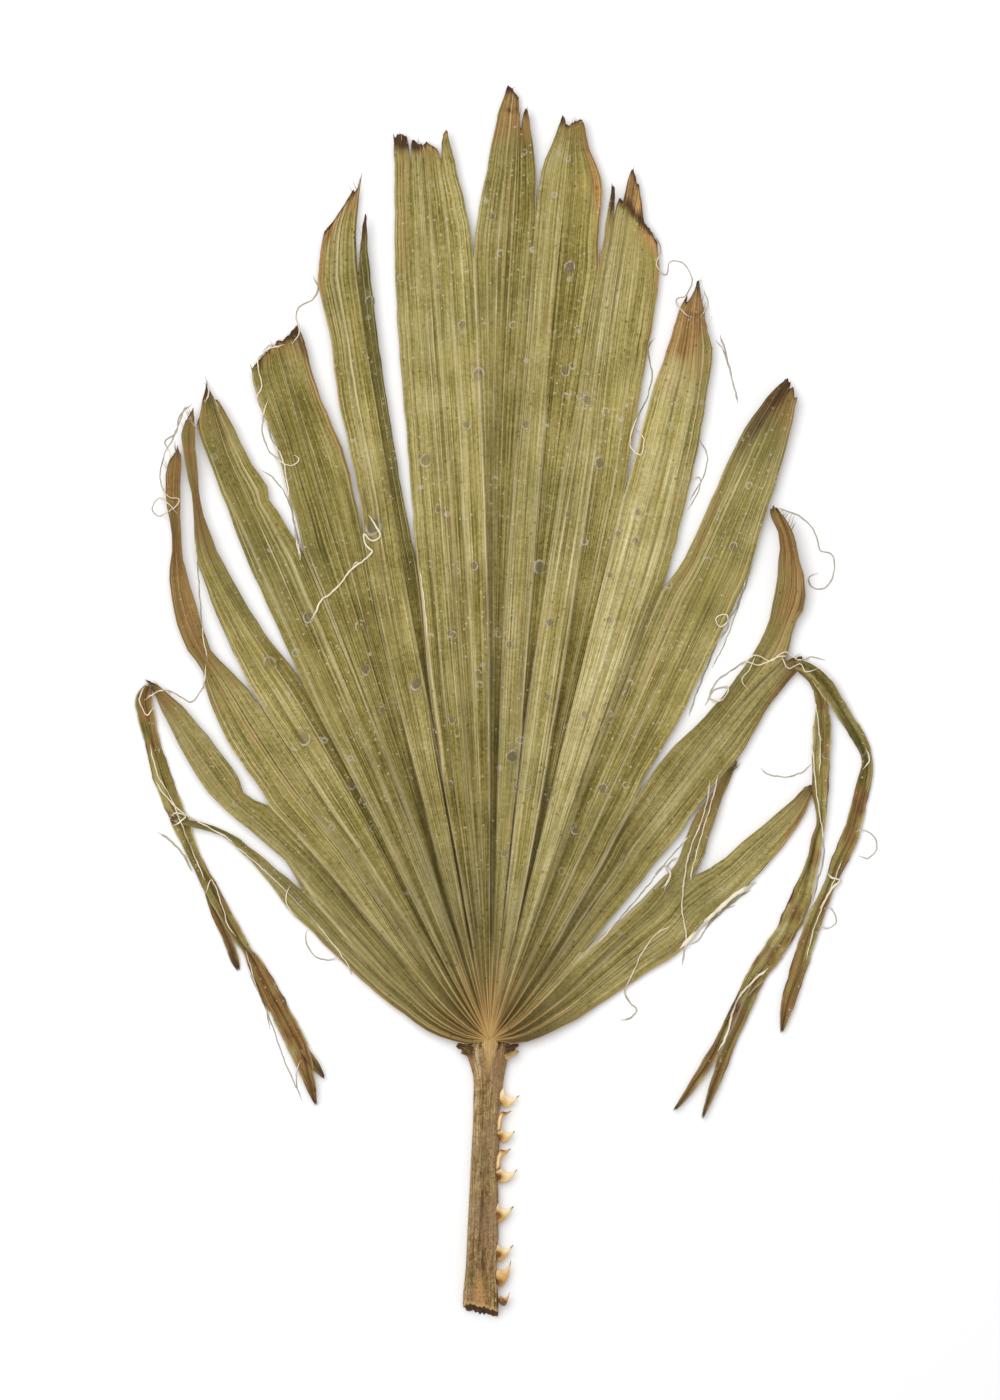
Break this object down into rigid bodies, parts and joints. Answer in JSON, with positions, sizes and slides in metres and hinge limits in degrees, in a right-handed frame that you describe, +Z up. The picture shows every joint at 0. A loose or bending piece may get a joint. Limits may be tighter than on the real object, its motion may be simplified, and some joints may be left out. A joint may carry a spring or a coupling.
{
  "type": "pressed fan palm leaf",
  "caption": "Dried, pressed fan palm leaf lying flat: pleated olive blade with split, ragged segments and folded strips, on a short brown stalk with a toothed margin.",
  "frame": {"origin": "on the table, on the stalk's flat underside below the place where the blade leaves the stalk", "axes": "+Y from the stalk towards the leaf's tip, +X to the leaf's right seen from above, +Z up from the table, out of the leaf's face"},
  "size_m": [0.2948, 0.4922, 0.0085],
  "materials": {
    "dried_blade": "dry, fibrous olive leaf tissue with fine veins",
    "dried_stalk": "dry grooved brown leaf stalk",
    "amber_teeth": "hard, slightly glossy amber teeth"
  },
  "bodies": {
    "root": {"blade": "dried_blade", "stalk": "dried_stalk", "stalk_teeth": "amber_teeth"}
  },
  "joints": []
}
